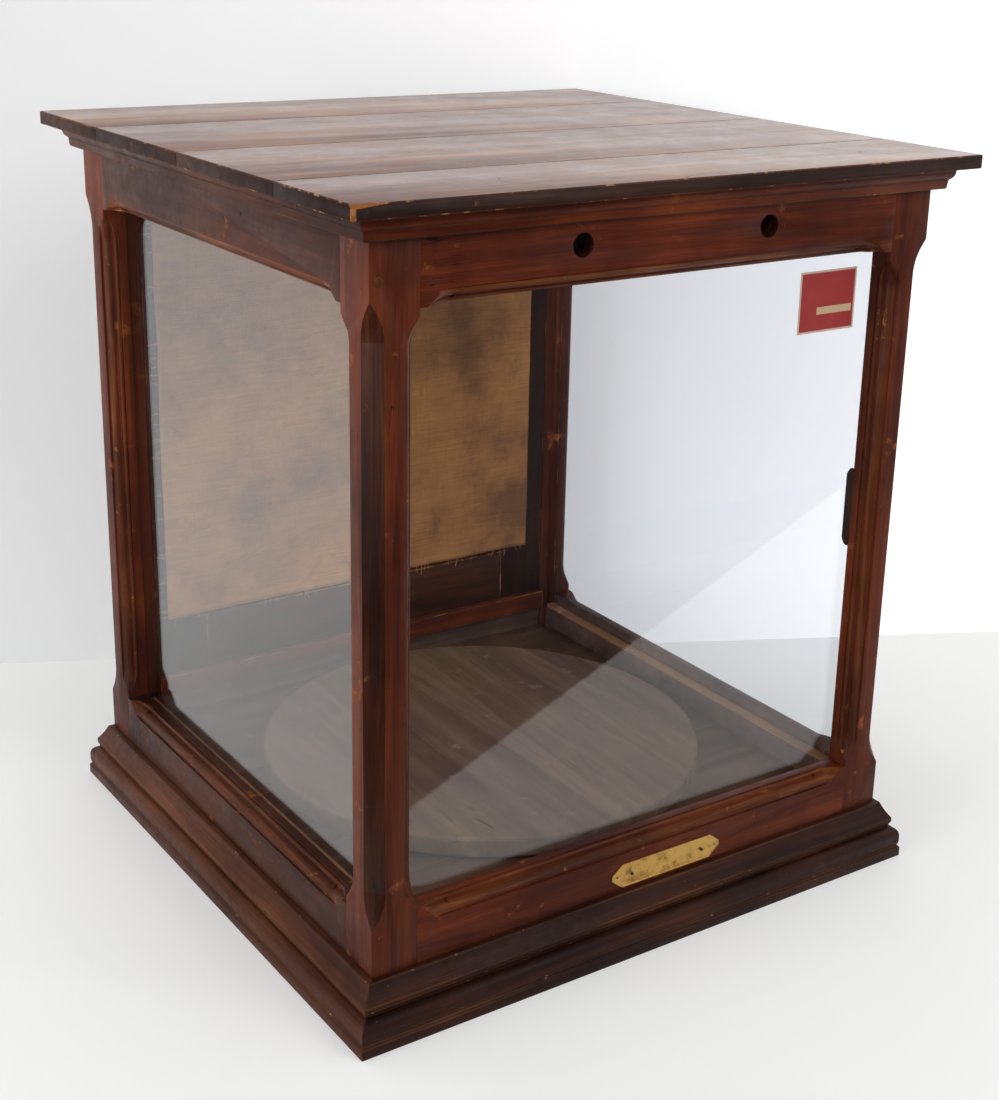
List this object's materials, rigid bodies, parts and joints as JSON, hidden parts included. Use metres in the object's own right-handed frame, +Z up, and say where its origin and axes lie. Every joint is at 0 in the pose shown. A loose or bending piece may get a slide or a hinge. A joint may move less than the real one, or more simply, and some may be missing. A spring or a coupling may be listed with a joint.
{
  "type": "cheese safe",
  "caption": "Glazed shop-counter food safe in stained hardwood: moulded base, glass front and sides, vent holes, brass plate, revolving round board, hinged wooden back.",
  "frame": {"origin": "middle of the footprint, on the counter", "axes": "+Z up, the glazed front faces -Y, +X to the right as seen from the front"},
  "size_m": [0.6186, 0.5986, 0.6845],
  "materials": {
    "stained_hardwood": "worn varnish over red-brown stain",
    "worn_top_wood": "scratched and rubbed stain",
    "bead_wood": "bare",
    "bare_wood": "bare, dusty",
    "board_wood": "scrubbed bare wood",
    "window_glass": "old flat pane",
    "brass": "tarnished",
    "iron": "dark, lightly rusted",
    "label_paper": "aged paper",
    "cloth": "aged sacking"
  },
  "bodies": {
    "case": {"post_front_left": "stained_hardwood", "post_front_right": "stained_hardwood", "post_rear_left": "stained_hardwood", "post_rear_right": "stained_hardwood", "top_rail_front": "stained_hardwood", "top_rail_left": "stained_hardwood", "top_rail_right": "stained_hardwood", "top_rail_rear": "stained_hardwood", "bottom_rail_front": "stained_hardwood", "bottom_rail_left": "stained_hardwood", "bottom_rail_right": "stained_hardwood", "bottom_rail_rear": "stained_hardwood", "plinth_front": "stained_hardwood", "plinth_right": "stained_hardwood", "plinth_rear": "stained_hardwood", "plinth_left": "stained_hardwood", "base_moulding_front": "stained_hardwood", "base_moulding_right": "stained_hardwood", "base_moulding_rear": "stained_hardwood", "base_moulding_left": "stained_hardwood", "cornice_front": "stained_hardwood", "cornice_right": "stained_hardwood", "cornice_rear": "stained_hardwood", "cornice_left": "stained_hardwood", "top_board_front": "worn_top_wood", "top_board_inner_front": "worn_top_wood", "top_board_inner_rear": "worn_top_wood", "top_board_rear": "worn_top_wood", "beads_front": "bead_wood", "beads_left": "bead_wood", "beads_right": "bead_wood", "pane_front": "window_glass", "pane_left": "window_glass", "pane_right": "window_glass", "floor_boards": "bare_wood", "floor_bearers": "bare_wood", "corner_beads": "stained_hardwood", "vent_gauze": "iron", "name_plate": "brass", "post_peg": "bare_wood", "paper_label": "label_paper", "pane_clip": "iron", "pivot_pin": "iron", "pivot_washer": "brass", "door_stops": "stained_hardwood", "hinge_leaves_post": "iron", "hinge_pins": "iron", "turn_button_screw": "brass"},
    "rear_door": {"door_stile_hinge": "stained_hardwood", "door_stile_latch": "stained_hardwood", "door_rail_top": "stained_hardwood", "door_rail_bottom": "stained_hardwood", "door_panel": "stained_hardwood", "cloth_panel": "cloth", "hinge_leaves_door": "iron", "door_knob": "stained_hardwood"},
    "round_board": {"cheese_board": "board_wood"},
    "latch_button": {"turn_button": "brass"}
  },
  "joints": [
    {"name": "rear_door_hinge", "type": "hinge", "parent": "case", "child": "rear_door", "pos_m": [0.2377, 0.2734, 0.35275], "axis": [0, 0, -1], "range_deg": [0, 110]},
    {"name": "round_board_turn", "type": "hinge", "parent": "case", "child": "round_board", "pos_m": [0, 0, 0.071], "axis": [0, 0, 1], "continuous": true},
    {"name": "turn_button_turn", "type": "hinge", "parent": "case", "child": "latch_button", "pos_m": [-0.25, 0.27, 0.43275], "axis": [0, 1, 0], "range_deg": [0, 90]}
  ]
}
